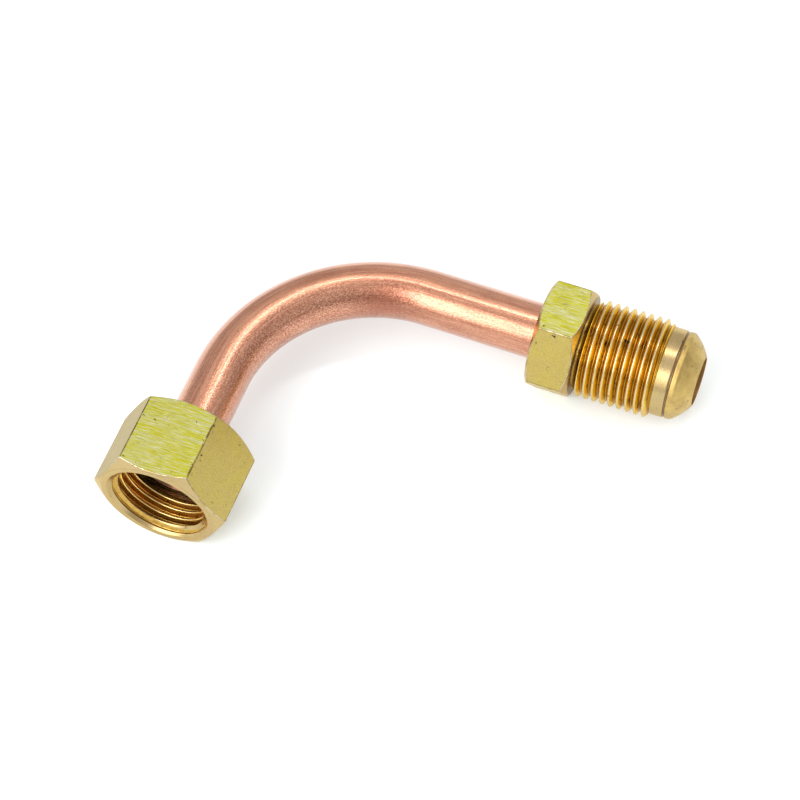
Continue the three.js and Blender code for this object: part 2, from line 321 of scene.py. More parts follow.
def rounded(outline, edge_steps=4, guard=0.05 * MM):
    """Rounds the corners of a closed outline, for all its columns at once.

    outline is a list of (radius, z, edge radius, zone), where radius and z are numbers or
    arrays with one value for each column. Each corner with an edge radius becomes a parabola
    arc: start * (1-t)^2 + corner * 2t(1-t) + end * t^2. A guard row on both sides keeps the
    shading of the faces flat. It returns radius and z grids, each row's zone, and each row's
    edge as (1 on an arc, 4t(1-t) for how near the arc's middle it is).
    """
    columns = max(np.size(value) for row in outline for value in row[:2])
    points = np.array([
        np.stack([np.broadcast_to(r, columns), np.broadcast_to(z, columns)], -1)
        for r, z, _, _ in outline
    ], float)
    back = points - np.roll(points, 1, 0)
    ahead = np.roll(points, -1, 0) - points
    back_len = np.linalg.norm(back, axis=-1, keepdims=True)
    ahead_len = np.linalg.norm(ahead, axis=-1, keepdims=True)
    back_dir = back / np.maximum(back_len, 1e-12)
    ahead_dir = ahead / np.maximum(ahead_len, 1e-12)
    cosine = np.sum(back_dir * ahead_dir, -1, keepdims=True).clip(SHARPEST_TURN, 1)
    half_tangent = np.sqrt((1 - cosine) / (1 + cosine))
    room = ROOM_SHARE * np.minimum(back_len, ahead_len)

    rows, zones, edges = [], [], []

    def add(row, zone, edge):
        rows.append(row)
        zones.append(zone)
        edges.append(edge)

    for i, (_, _, edge_radius, zone) in enumerate(outline):
        here = points[i]
        if not edge_radius:
            add(here, zone, (0, 0))
            continue
        zone_before = outline[i - 1][3]
        reach = np.minimum(edge_radius * half_tangent[i], room[i])
        start = here - back_dir[i] * reach
        end = here + ahead_dir[i] * reach
        add(start - back_dir[i] * np.minimum(guard, room[i] / 4), zone_before, (0, 0))
        for t in np.linspace(0, 1, edge_steps + 1):
            arc = start * (1 - t) ** 2 + here * (2 * t * (1 - t)) + end * t ** 2
            add(arc, zone_before if t < 0.5 else zone, (1, 4 * t * (1 - t)))
        add(end + ahead_dir[i] * np.minimum(guard, room[i] / 4), zone, (0, 0))
    grid = np.array(rows)
    return grid[..., 0], grid[..., 1], np.array(zones), np.array(edges)


def grid_faces(rows, columns):
    """Quads of a grid that closes on itself in both directions, facing out of the metal."""
    i, j = np.meshgrid(np.arange(rows), np.arange(columns), indexing="ij")
    down, right = (i + 1) % rows, (j + 1) % columns
    corners = [i * columns + j, i * columns + right, down * columns + right, down * columns + j]
    return np.stack(corners, -1).reshape(-1, 4)


def mesh_object(name, points, faces, values, smooth=True):
    """A mesh object at the origin from point, face and named point-value arrays."""
    mesh = bpy.data.meshes.new(name)
    mesh.vertices.add(len(points))
    mesh.vertices.foreach_set("co", points.astype(np.float32).ravel())
    sides = faces.shape[1]
    mesh.loops.add(faces.size)
    mesh.loops.foreach_set("vertex_index", faces.astype(np.int32).ravel())
    mesh.polygons.add(len(faces))
    mesh.polygons.foreach_set("loop_start", np.arange(0, faces.size, sides, dtype=np.int32))
    mesh.update(calc_edges=True)
    mesh.validate()
    mesh.polygons.foreach_set("use_smooth", np.full(len(mesh.polygons), smooth))
    for key, value in values.items():
        vector = value.ndim == 2
        layer = mesh.attributes.new(key, "FLOAT_VECTOR" if vector else "FLOAT", "POINT")
        layer.data.foreach_set("vector" if vector else "value", value.astype(np.float32).ravel())
    thing = bpy.data.objects.new(name, mesh)
    bpy.context.scene.collection.objects.link(thing)
    return thing


def placed(points, matrix):
    """Points moved from a leg's own frame to the row frame."""
    m = np.array(matrix)
    return points @ m[:3, :3].T + m[:3, 3]


def ring(name, angles, radius, z, matrix, values=None):
    """A closed ring: x = radius cos(angle), y = radius sin(angle), z = z.

    Its turning attribute is (distance along the outline in mm, 2 cos(angle), 2 sin(angle)),
    so lathe marks run round the axis with no seam.
    """
    rows, columns = radius.shape
    cos, sin = np.cos(angles), np.sin(angles)
    points = np.stack([radius * cos, radius * sin, z], -1)
    step = np.hypot(np.diff(radius, axis=0), np.diff(z, axis=0)).mean(1)
    along = np.concatenate([[0], np.cumsum(step)]) / MM
    turning = np.stack([
        np.repeat(along[:, None], columns, 1),
        np.repeat(cos[None] * 2, rows, 0),
        np.repeat(sin[None] * 2, rows, 0),
    ], -1)
    data = {"turning": turning.reshape(-1, 3)}
    for key, value in (values or {}).items():
        data[key] = value.reshape(-1, 3) if value.ndim == 3 else value.reshape(-1)
    return mesh_object(name, placed(points.reshape(-1, 3), matrix), grid_faces(rows, columns), data)


def whole_rows(chosen, grid):
    """1 on the chosen rows of a grid and 0 on the others."""
    return chosen[:, None] * np.ones_like(grid)


def even_angles(count):
    """Angles count to a turn, starting at 0, the last one a step short of the first."""
    return np.linspace(0, 2 * math.pi, count, endpoint=False)


class Hexagon:
    """A hexagon outline with rounded corners, as a radius for each angle.

    On a flat the radius is (flats / 2) / cos(angle from the flat's middle). On a corner it is
    the far side of a small circle: c cos(t) + sqrt(r^2 - (c sin(t))^2), t from the corner.
    """

    def __init__(self, flats, corner_radius=0.30 * MM, corner_steps=6, flat_steps=30):
        side_turn = math.pi / 3
        centre = (flats / 2 - corner_radius) / math.cos(side_turn / 2)
        reach = math.atan2(
            corner_radius * math.sin(side_turn / 2),
            centre + corner_radius * math.cos(side_turn / 2),
        )
        guard = reach * GUARD_SHARE
        offsets = np.concatenate([
            [-guard],
            np.linspace(-reach, reach, corner_steps + 1),
            np.linspace(guard, side_turn - guard, flat_steps)[:-1],
        ])
        corners = np.arange(6) * side_turn
        self.angles = (corners[:, None] + offsets).ravel()
        turn = np.tile(offsets, 6)
        from_corner = np.minimum(np.abs(turn), side_turn - np.abs(turn))
        flat = (flats / 2) / np.cos(side_turn / 2 - from_corner)
        inside = np.maximum(corner_radius ** 2 - (centre * np.sin(from_corner)) ** 2, 0)
        arc = centre * np.cos(from_corner) + np.sqrt(inside)
        self.on_corner = (from_corner <= reach * 1.01).astype(float)
        self.corner_middle = np.clip(1.15 - 1.5 * from_corner / reach, 0, 1)
        self.radius = np.where(self.on_corner > 0, arc, flat)
        nearest = np.repeat(np.arange(6), len(offsets))
        self.side = np.where(turn < 0, nearest - 1, nearest) % 6
        self.across = self.radius * np.sin(self.angles - (self.side + 0.5) * side_turn)


def thread_radius(angles, z, thread):
    """Radius of a right-hand pipe thread at each angle and z.

    The phase is z / pitch - angle / turn. The 55 degree ridge is a triangle wave of the phase,
    cut to the thread's depth, and tanh rounds the last few hundredths at its crest and root.
    """
    phase = (z / thread.pitch - angles / (2 * math.pi)) % 1.0
    ramp = 1 - np.abs(2 * phase - 1)
    full = thread.pitch / 2 / math.tan(HALF_THREAD_ANGLE)
    depth = thread.major - thread.minor
    spare = (full - depth) / 2 / full
    level = (ramp - spare) / (1 - 2 * spare)
    soft = 0.06
    level = np.where(level > 1 - soft, 1 - soft + soft * np.tanh((level - 1 + soft) / soft), level)
    level = np.where(level < soft, soft + soft * np.tanh((level - soft) / soft), level)
    return thread.minor + depth * level


# ---- node trees


class Tree:
    """Writes a material's nodes. Values are numbers, colours, or another node's output."""

    def __init__(self, name):
        self.material = bpy.data.materials.new(name)
        self.material.use_nodes = True
        self.tree = self.material.node_tree
        self.tree.nodes.clear()

    @classmethod
    def around(cls, node_tree):
        """Writes into a node tree that is there already."""
        made = cls.__new__(cls)
        made.tree = node_tree
        node_tree.nodes.clear()
        return made

    def node(self, kind, inputs=None, **settings):
        """A node with its settings, and its inputs linked or filled in."""
        made = self.tree.nodes.new(kind)
        for key, value in settings.items():
            setattr(made, key, value)
        for key, value in (inputs or {}).items():
            socket = made.inputs[key]
            if isinstance(value, bpy.types.NodeSocket):
                self.tree.links.new(value, socket)
            elif socket.type == "RGBA" and len(value) == 3:
                socket.default_value = (*value, 1.0)
            else:
                socket.default_value = value
        return made

    def attribute(self, name, output="Vector"):
        """A named vector of the mesh's points."""
        return self.node("ShaderNodeAttribute", attribute_name=name).outputs[output]

    def value(self, name):
        """A named number of the mesh's points."""
        return self.attribute(name, "Fac")

    def place(self):
        """Object coordinates in millimetres."""
        source = self.node("ShaderNodeTexCoord").outputs["Object"]
        return self.scaled(source, MM_PER_M)

    def scaled(self, vector, scale):
        made = self.node("ShaderNodeVectorMath", {0: vector, 1: scale}, operation="MULTIPLY")
        return made.outputs["Vector"]

    def noise(self, vector, scale=1.0, detail=3.0, roughness=0.55, distortion=0.0):
        inputs = {
            "Vector": vector, "Scale": scale, "Detail": detail,
            "Roughness": roughness, "Distortion": distortion,
        }
        return self.node("ShaderNodeTexNoise", inputs).outputs["Fac"]

    def spots(self, vector, scale, size, softness=0.5):
        """Round spots, one in each cell, as wide as the cell's own random value times size."""
        cells = self.node("ShaderNodeTexVoronoi", {"Vector": vector, "Scale": scale})
        reach = self.times(self.channel(cells.outputs["Color"]), size)
        low = self.times(reach, 1 - softness)
        return self.span(cells.outputs["Distance"], reach, low, 0.0, 1.0)

    def channel(self, colour_output):
        split = self.node("ShaderNodeSeparateColor", {"Color": colour_output})
        return split.outputs["Red"]

    def math(self, operation, a, b):
        return self.node("ShaderNodeMath", {0: a, 1: b}, operation=operation).outputs["Value"]

    def plus(self, a, b):
        return self.math("ADD", a, b)

    def times(self, a, b):
        return self.math("MULTIPLY", a, b)

    def minus(self, a, b):
        return self.math("SUBTRACT", a, b)

    def span(self, value, low, high, to_low=0.0, to_high=1.0):
        """The value carried from low..high to to_low..to_high, and held at its ends."""
        inputs = {
            "Value": value, "From Min": low, "From Max": high,
            "To Min": to_low, "To Max": to_high,
        }
        return self.node("ShaderNodeMapRange", inputs, clamp=True).outputs["Result"]

    def mix(self, factor, a, b, blend="MIX"):
        made = self.node("ShaderNodeMix", data_type="RGBA", blend_type=blend)
        for socket, value in ((made.inputs[0], factor), (made.inputs[6], a), (made.inputs[7], b)):
            if isinstance(value, bpy.types.NodeSocket):
                self.tree.links.new(value, socket)
            elif socket.type == "RGBA":
                socket.default_value = (*value[:3], 1.0)
            else:
                socket.default_value = value
        return made.outputs[2]

    def bump(self, height, strength, distance=0.02 * MM, normal=None):
        inputs = {"Height": height, "Strength": strength, "Distance": distance}
        if normal is not None:
            inputs["Normal"] = normal
        return self.node("ShaderNodeBump", inputs).outputs["Normal"]

    def finish(self, colour_value, roughness, normal=None, metallic=1.0, **fixed):
        """The shader and the output. fixed values are set on the shader's own sockets."""
        inputs = {"Base Color": colour_value, "Roughness": roughness, "Metallic": metallic}
        if normal is not None:
            inputs["Normal"] = normal
        shader = self.node("ShaderNodeBsdfPrincipled", inputs)
        for key, value in fixed.items():
            title = key.replace("_", " ").title().replace("Ior", "IOR")
            shader.inputs[title].default_value = value
        output = self.node("ShaderNodeOutputMaterial", {"Surface": shader.outputs["BSDF"]})
        output.is_active_output = True
        return self.material


def copper_material(pipe):
    """Drawn copper: fine lines along the pipe, orange-peel grain, faint pits, and its inside
    painted dark as shade.
    """
    t = Tree("drawn_copper")
    drawn = t.attribute("drawn")
    lines = t.noise(t.scaled(drawn, (5.0, 5.0, 0.12)), detail=4.0, roughness=0.65)
    wide_lines = t.noise(t.scaled(drawn, (2.2, 2.2, 0.05)), detail=2.0)
    grain = t.noise(t.scaled(drawn, (3.3, 3.3, 2.8)), detail=2.0, roughness=0.7)
    cloud = t.noise(t.scaled(drawn, (0.35, 0.35, 0.12)), detail=2.0)
    coarse = t.value("coarse")
    pits = t.spots(t.scaled(drawn, (1.0, 1.0, 0.8)), 0.8, 0.16)

    tone = t.plus(t.times(lines, 0.5), t.times(wide_lines, 0.5))
    tone = t.plus(tone, t.times(cloud, 0.3))
    base = t.mix(t.span(tone, 0.54, 0.74), pipe.dull, pipe.bright)
    dark_specks = t.times(coarse, t.span(grain, 0.50, 0.60, 0.0, 0.85))
    base = t.mix(dark_specks, base, pipe.tarnished)
    pale_specks = t.times(coarse, t.span(grain, 0.47, 0.38, 0.0, 0.75))
    base = t.mix(pale_specks, base, COPPER_GLINT)
    base = t.mix(t.times(t.value("tarnish"), 0.75), base, pipe.tarnished)
    base = t.mix(t.times(pits, 0.6), base, COPPER_PIT)
    # The bore, the flare's inner cone and its lip are painted dark as shade.
    base = t.mix(t.value("inside"), base, COPPER_IN_SHADE)

    rough = t.span(lines, 0.3, 0.7, 0.16, 0.29)
    fine = t.bump(t.minus(lines, pits), 0.45)
    peel = t.bump(t.times(grain, coarse), 1.0, 0.10 * MM, fine)
    return t.finish(base, rough, peel, coat_weight=0.6, coat_roughness=0.12)


def brass_material(name, finish, line_scale, fleck_scale, root_shade, flank):
    """Brass with milled flats, turned faces, bright thread flanks, a brown oil stain and painted
    shade at the root, and painted highlights on edges.

    line_scale is the number of milling lines in a millimetre across and along the nut, and
    fleck_scale the same for the short flecks between them. root_shade is how dark the painted
    shade at the bottom of the thread is, and flank its colour halfway up.
    """
    t = Tree(name)
    place = t.place()
    turning = t.attribute("turning")
    milling = t.attribute("milling")
    flat = t.value("flat")
    top = t.value("top_flat")
    depth = t.value("depth")
    milled = t.noise(t.scaled(milling, line_scale), detail=5.0, roughness=0.7)
    flecks = t.noise(t.scaled(milling, fleck_scale), detail=3.0, roughness=0.7)
    turned = t.noise(t.scaled(turning, (9.0, 0.8, 0.8)), detail=3.0, roughness=0.6)
    cloud = t.noise(place, 0.3, detail=4.0, roughness=0.6)
    grain = t.noise(place, 3.2, detail=4.0, roughness=0.75)
    patchy = t.noise(place, 0.55, detail=4.0, roughness=0.7)
    streaks = t.noise(t.scaled(turning, (0.7, 1.5, 1.5)), detail=4.0, roughness=0.72)

    # Chips and pits are round spots pulled out of shape, and pits come in clusters.
    pull = t.node("ShaderNodeTexNoise", {"Vector": place, "Scale": 2.2, "Detail": 3.0})
    pull = t.scaled(pull.outputs["Color"], (1.5, 1.5, 1.5))
    ragged = t.node("ShaderNodeVectorMath", {0: place, 1: pull}, operation="ADD")
    ragged = ragged.outputs["Vector"]
    chips = t.spots(ragged, 0.36, 0.15, 0.35)
    cluster = t.span(t.noise(place, 0.22, detail=2.0), 0.48, 0.60, 0.25, 1.0)
    pits = t.times(t.spots(ragged, 1.05, 0.24), cluster)
    smudge = t.span(patchy, 0.62, 0.72)

    # The top flats: milling lines on a yellow painted brighter, as lit from above.
    yellow = t.mix(t.span(milled, 0.46, 0.62), finish.milled_lit_yellow, finish.milled_pale)
    yellow = t.mix(t.span(flecks, 0.54, 0.64, 0.0, 0.75), yellow, PALE_FLECK)
    yellow = t.mix(t.span(flecks, 0.48, 0.40, 0.0, 0.75), yellow, OLIVE_FLECK)
    yellow = t.mix(t.times(smudge, 0.55), yellow, SMUDGE)
    # The other flats.
    gold = t.mix(t.span(cloud, 0.35, 0.65, 0.0, 0.35), finish.gold, finish.turned_gold)
    gold = t.mix(t.span(grain, 0.47, 0.58, 0.0, 0.60), gold, GOLD_GRAIN)
    # One side of the swivel nut is painted in shade, as a darker gold.
    gold = t.mix(t.times(t.value("painted_shade"), 0.68), gold, SHADE_SIDE_GOLD)
    # The turned faces.
    turned_colour = t.mix(t.span(cloud, 0.35, 0.7, 0.0, 0.35), finish.turned_gold, finish.gold)
    turned_colour = t.mix(t.span(grain, 0.5, 0.7, 0.0, 0.25), turned_colour, TURNED_GRAIN)
    # The thread, from its crest down: a brown oil stain and painted shade towards the root, and
    # stain streaks in the deeper part.
    thread = t.mix(t.span(depth, 0.0, 0.10), finish.crest, flank)
    thread = t.mix(t.span(depth, 0.60, 0.95, 0.0, root_shade), thread, finish.root)
    stained = t.times(t.span(streaks, 0.55, 0.63), t.span(depth, 0.25, 0.6))
    stained = t.times(stained, 0.35 + 0.6 * root_shade)
    thread = t.mix(stained, thread, finish.shade_and_film)

    base = t.mix(flat, turned_colour, t.mix(top, gold, yellow))
    base = t.mix(t.value("thread"), base, thread)
    # Painted shade in the swivel nut's chamber and on the male nut's shoulder, and a darker first
    # groove.
    shade_and_film = t.times(t.value("shade_and_film"), t.span(grain, 0.3, 0.6, 1.0, 0.55))
    base = t.mix(shade_and_film, base, finish.shade_and_film)
    # The middle of each edge and corner: edge wear with a painted highlight.
    rubbed_glint = t.times(t.value("worn_glint"), t.span(patchy, 0.44, 0.58, 0.60, 0.05))
    base = t.mix(rubbed_glint, base, finish.worn_glint)
    # The sides of each edge and corner are painted darker, in patches.
    edge_dark = t.times(t.value("edge"), t.span(patchy, 0.40, 0.56, 0.45, 0.95))
    base = t.mix(edge_dark, base, EDGE_DARK)
    base = t.mix(t.math("MAXIMUM", chips, t.times(pits, 0.9)), base, finish.stain)

    on_top = t.times(flat, t.span(top, 0, 1, 0.3, 1))
    lines = t.channel(t.mix(on_top, turned, t.mix(0.5, milled, flecks)))
    rough = t.plus(t.span(lines, 0.3, 0.7, 0.20, 0.32), t.times(flat, 0.06))
    height = t.minus(lines, t.times(chips, 2.0))
    height = t.plus(height, t.times(grain, 0.6))
    return t.finish(base, rough, t.bump(height, 0.36), specular_tint=BRASS_TINT)


def turned_material(name, light, dark, rough=(0.24, 0.36)):
    """Turned metal: fine rings, soft clouds, clustered dark pits and a hole painted darker brown.
    """
    t = Tree(name)
    rings = t.noise(t.scaled(t.attribute("turning"), (12.0, 0.7, 0.7)), detail=3.0)
    place = t.place()
    cloud = t.noise(place, 0.4, detail=4.0, roughness=0.6)
    grain = t.noise(place, 3.0, detail=4.0, roughness=0.75)
    pits = t.spots(t.scaled(place, (1.0, 0.6, 1.0)), 1.15, 0.38)
    cluster = t.span(t.noise(place, 0.33, detail=2.0), 0.42, 0.51)
    marks = t.times(pits, cluster)
    base = t.mix(t.span(cloud, 0.35, 0.7), light, dark)
    base = t.mix(t.span(grain, 0.45, 0.70, 0.0, 0.30), base, dark)
    base = t.mix(t.times(marks, 0.85), base, TURNED_MARK)
    # The hole's wall is painted a darker brown.
    base = t.mix(t.value("hollow"), base, HOLLOW_BROWN)
    height = t.minus(rings, t.times(marks, 2.0))
    height = t.plus(height, t.times(grain, 0.6))
    return t.finish(base, t.span(rings, 0.3, 0.7, *rough), t.bump(height, 0.30))


# ---- pieces


def keep(thing, body, node, material):
    """Gives a piece its material and its place in the frame."""
    thing.data.materials.append(material)
    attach(thing, body)
    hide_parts(node)


def dense(start, end, step):
    """Evenly spaced values from start to end, both kept, about a step apart."""
    return np.linspace(start, end, max(2, round(abs(end - start) / step) + 1))


def bent_pipe(p):
    """The pipe is worked out straight, then bent.

    A straight point (x, y, s) lies s along the pipe. In the bend its angle is s / bend radius,
    x points to the bend's centre and y up: place = centre - x_dir (bend radius - x) + y_dir y.
    The section narrows in the bend's plane, by a smooth step at each end of the bend.
    """
    radius, inner, bend = p.radius, p.radius - p.wall, p.bend_radius
    bend_length = bend * math.pi / 2
    far = bend_length + p.nose_end - bend
    lip_back = bend - (p.flare_mouth - p.flare_lip)
    mouth = bend - p.flare_mouth
    root = lip_back + (p.flare_radius - radius)
    inner_root = root - 0.2 * MM
    stations = dense(0.0, bend_length, 0.7 * MM)
    edge, inner_curve, outer_curve = 0.2 * MM, 0.8 * MM, 1.2 * MM
    outline = [
        (inner, inner_root, inner_curve, HOLLOW),
        (p.flare_radius - p.flare_lip, mouth, edge, HOLLOW),
        (p.flare_radius, lip_back, edge, TURNED),
        (radius, root, outer_curve, TURNED),
        *[(radius, s, 0, TURNED) for s in stations],
        (radius, far, edge, TURNED),
        (inner, far, edge, HOLLOW),
        *[(inner, s, 0, HOLLOW) for s in stations[::-1]],
    ]
    angles = even_angles(PIPE_COLUMNS)
    outline = [(np.full(PIPE_COLUMNS, r), s, e, zone) for r, s, e, zone in outline]
    ring_radius, along, zones, _ = rounded(outline, edge_steps=6)
    turn = np.clip(along / bend, 0, math.pi / 2)
    bent = np.clip(np.minimum(along, bend_length - along) / (9 * MM) + 0.5, 0, 1)
    bent = bent * bent * (3 - 2 * bent)
    x = ring_radius * np.cos(angles) * (1 - p.flattening * bent)
    y = ring_radius * np.sin(angles) * (1 + 0.5 * p.flattening * bent)
    straight = along - turn * bend
    to_centre = x - bend
    points = np.stack([
        bend + to_centre * np.cos(turn) + straight * np.sin(turn),
        -bend - to_centre * np.sin(turn) + straight * np.cos(turn),
        y,
    ], -1)

    # The grain is coarse on the bend's inner side and a little on the flared leg, and the
    # tarnish is a bell curve near the bend's far end.
    flared_side = np.clip((6 * MM - along) / (12 * MM), 0, 1)
    inner_side = bent * np.clip(0.15 + np.cos(angles), 0, 1)
    far_half = np.exp(-((along - 0.82 * bend_length) / (8 * MM)) ** 2)
    values = {
        "drawn": np.stack([x, y, along], -1).reshape(-1, 3) / MM,
        "coarse": np.clip(0.16 + 0.22 * flared_side + 0.75 * inner_side, 0, 1).ravel(),
        "tarnish": (far_half * np.clip(np.cos(angles - 0.45), 0, 1) ** 3).ravel(),
        # The bore and the flare's inner face, painted dark as shade.
        "inside": whole_rows(zones == HOLLOW, along).ravel(),
    }
    male_axis = Vector(joint("male_nut_spin")["axis"])
    lean = Matrix.Rotation(math.asin(-male_axis.z), 4, "Y")
    points = placed(points.reshape(-1, 3), Matrix.Translation(corner_point()) @ lean)
    return mesh_object("copper_pipe", points, grid_faces(*along.shape), values)


def hexagon_values(hexagon, zones, edges, z, shaded_side=None, corner_glint=1.0):
    """A nut's attributes, one value for each point of its grid.

    flat and top_flat are 1 on all its flats and on the top and bottom one. painted_shade is 1 on a
    side that is painted in shade. worn_glint is the middle of an edge or corner, edge wear with a
    painted highlight, corner_glint strong on the long corners, and edge is the rest of it, painted
    darker. milling is (across the flat, along the nut, side) in mm, so each side has a pattern of
    its own.
    """
    flat = whole_rows(zones == FLAT, z)
    outer = ((zones == FLAT) | (zones == CHAMFER)).astype(float)[:, None]
    on_arc, arc_middle = edges.T[:, :, None] * outer
    edge = np.maximum(on_arc, flat * hexagon.on_corner)
    worn_glint = np.maximum(arc_middle, flat * hexagon.corner_middle * corner_glint)
    top = (hexagon.side == 1) | (hexagon.side == 4)
    milling = [hexagon.across[None] / MM, z / MM, hexagon.side[None] * SIDE_SHIFT]
    return {
        "flat": flat,
        "edge": edge - worn_glint,
        "worn_glint": worn_glint,
        "milling": np.stack(np.broadcast_arrays(*milling), -1),
        "top_flat": np.ones_like(z) * top,
        "painted_shade": flat * (hexagon.side == shaded_side),
    }


def chamfered(hexagon, back, front, circle, edge=HEX_EDGE):
    """Outline rows of a hexagon's outside, with both corners turned off at 30 degrees.

    Each end is set back by (radius - circle) tan(30 degrees) where the radius is larger.
    """
    setback = np.maximum(hexagon.radius - circle, 0) * math.tan(CHAMFER_ANGLE)
    return [
        (circle, back, edge, CHAMFER),
        (hexagon.radius, back + setback, edge, FLAT),
        (hexagon.radius, front - setback, edge, CHAMFER),
        (circle, front, edge, TURNED),
    ]


def thread_level(radius, thread):
    """How far a radius is from the thread's minor radius (0) to its major radius (1)."""
    return np.clip((radius - thread.minor) / (thread.major - thread.minor), 0, 1)


def threaded_rows(angles, start, end, limit, thread, outside):
    """Outline rows of a thread between two z values, kept within limit(z)."""
    rows = []
    for z in dense(start, end, thread.pitch / ROWS_PER_TURN):
        radius = thread_radius(angles, z, thread)
        bound = limit(z)
        radius = np.minimum(radius, bound) if outside else np.maximum(radius, bound)
        rows.append((radius, z, 0, THREAD))
    return rows


def swivel_nut(nut, thread, sleeve):
    """A hexagon with a tail hole, a 45 degree seat, a chamber, a thread and a countersink.

    The countersink's radius falls by as much as z goes in from the mouth, and the thread is
    kept outside it.
    """
    hexagon = Hexagon(nut.flats)
    seat_gap = 0.3 * MM
    line = sleeve.bevel_start - sleeve.tail - seat_gap * math.sqrt(2)
    edge = 0.3 * MM

    def cone(z):
        return nut.countersink - (nut.mouth - z)

    cut_start = nut.mouth - 0.26 * MM
    outline = [
        (nut.tail_hole, nut.back, edge, TURNED),
        *chamfered(hexagon, nut.back, nut.mouth, CHAMFER_SHARE * nut.flats / 2),
        (nut.countersink, nut.mouth, edge, THREAD),
        *threaded_rows(
            hexagon.angles, cut_start, nut.thread_start + 0.3 * MM, cone, thread, False
        ),
        (nut.chamber, nut.thread_start - 0.2 * MM, 0, DEEP),
        (nut.chamber, nut.chamber + line, edge, DEEP),
        (nut.tail_hole, nut.tail_hole + line, edge, DEEP),
    ]
    radius, z, zones, edges = rounded(outline)
    values = hexagon_values(hexagon, zones, edges, z, shaded_side=2, corner_glint=0.15)
    deep = thread_level(radius, thread)
    cut = (zones == THREAD)[:, None] & (radius > cone(z) + 0.01 * MM)
    first_groove = cut & (z > nut.mouth - 3.0 * MM)
    values["thread"] = cut.astype(float)
    values["depth"] = np.where(cut, deep, 0.0)
    # The chamber and seat behind the thread are painted in shade, and the first groove is painted
    # darker.
    values["shade_and_film"] = np.where((zones == DEEP)[:, None], 0.8, 0.75 * first_groove)
    return ring("swivel_nut_body", hexagon.angles, radius, z, FLARED_LEG, values)


def male_nut(nut, thread):
    """A hexagon, an undercut, an outside thread and a collar, bored through and counterbored.

    The thread's limit rises steeply from its first turn and more gently from its last.
    """
    hexagon = Hexagon(nut.flats)
    circle = CHAMFER_SHARE * nut.flats / 2
    first_slope, last_slope = 3, 1.2
    mouth_bevel = 0.6 * MM

    def limit(z):
        room = min((z - nut.thread_start) * first_slope, (nut.thread_end - z) * last_slope)
        return thread.minor + max(room, 0)

    outline = [
        (nut.bore + mouth_bevel, nut.back, 0.1 * MM, TURNED),
        *chamfered(hexagon, nut.back, nut.hex_front, circle)[:-1],
        (circle, nut.hex_front, HEX_EDGE, SHOULDER),
        (nut.neck, nut.hex_front, 0.2 * MM, SHOULDER),
        (nut.neck, nut.hex_front + 0.35 * MM, 0, UNDERCUT),
        (nut.neck, nut.thread_start - 0.1 * MM, 0, UNDERCUT),
        *threaded_rows(hexagon.angles, nut.thread_start, nut.thread_end, limit, thread, True),
        (nut.collar, nut.thread_end + 0.1 * MM, 0.05 * MM, TURNED),
        (nut.collar, nut.collar_end, 0.25 * MM, TURNED),
        (nut.counterbore, nut.collar_end, 0.15 * MM, TURNED),
        (nut.counterbore, nut.counterbore_start, 0.2 * MM, DEEP),
        (nut.bore, nut.counterbore_start, 0.15 * MM, DEEP),
        (nut.bore, nut.back + mouth_bevel, 0.15 * MM, DEEP),
    ]
    radius, z, zones, edges = rounded(outline)
    values = hexagon_values(hexagon, zones, edges, z)
    deep = 1 - thread_level(radius, thread)
    threaded = whole_rows(zones == THREAD, z)
    undercut = whole_rows(zones == UNDERCUT, z)
    # The undercut groove is painted like the thread's root, as painted shade.
    values["thread"] = threaded + undercut
    values["depth"] = threaded * deep + undercut * 0.85
    # The shoulder behind the hexagon is painted in shade.
    values["shade_and_film"] = whole_rows(zones == SHOULDER, z)
    return ring("male_nut_body", hexagon.angles, radius, z, NOSE_LEG, values)


def plain_ring(name, outline, matrix, columns=160, edge_steps=4):
    """A ring of a plain outline, the same at every angle. A fourth value marks a hollow."""
    outline = [
        (np.full(columns, r), z, edge, *(zone or [TURNED])) for r, z, edge, *zone in outline
    ]
    radius, z, zones, _ = rounded(outline, edge_steps)
    hollow = {"hollow": whole_rows(zones == HOLLOW, z)}
    return ring(name, even_angles(columns), radius, z, matrix, hollow)


def flare_sleeve(s, p):
    """A tail and a bevelled head, with a 45 degree cone that the flare sits in."""
    cone = p.flare_mouth - p.flare_lip - (p.flare_radius - p.radius)
    cone_start = cone + (s.bore - p.radius) - 0.3 * MM * math.sqrt(2)
    edge = 0.15 * MM
    return plain_ring("sleeve_ring", [
        (s.bore, s.back, edge),
        (s.tail, s.back, edge),
        (s.tail, s.bevel_start, edge),
        (s.head, s.bevel_start + s.head - s.tail, edge),
        (s.head, s.front, edge),
        (s.bore + s.front - cone_start, s.front, edge),
        (s.bore, cone_start, edge),
    ], FLARED_LEG)


def ball_nose(n):
    """The nose is part of a ball centred on the axis.

    The ball's centre is as far from the rim's front edge as from the hole's front edge. A fine
    scored line runs round it, a bell curve of the angle deep.
    """
    start = n.head_back + 0.15 * MM + n.rim_width
    nose = n.end - start
    rise = (nose + (n.hole ** 2 - n.rim ** 2) / nose) / 2
    centre, ball = start + rise, math.hypot(n.rim, rise)
    turn = np.linspace(math.atan2(start - centre, n.rim), math.atan2(n.end - centre, n.hole), 61)
    score_depth, score_width = 0.0035, 0.008
    score = 1 - score_depth * np.exp(-((turn - turn[11]) / score_width) ** 2)
    dome = [(r * math.cos(a), centre + r * math.sin(a), 0) for a, r in zip(turn, ball * score)]
    return plain_ring("ball_nose", [
        (n.socket, n.back, 0.15 * MM),
        (n.tail, n.back, 0.2 * MM),
        (n.tail, n.head_back, 0.1 * MM),
        (n.rim, n.head_back, 0.35 * MM),
        (n.rim, start, 0.6 * MM),
        *dome[6:-4],
        (n.hole, n.end, 0.15 * MM, HOLLOW),
        (n.hole, n.socket_end, 0.1 * MM, HOLLOW),
        (n.socket, n.socket_end, 0.1 * MM),
    ], NOSE_LEG, columns=192)


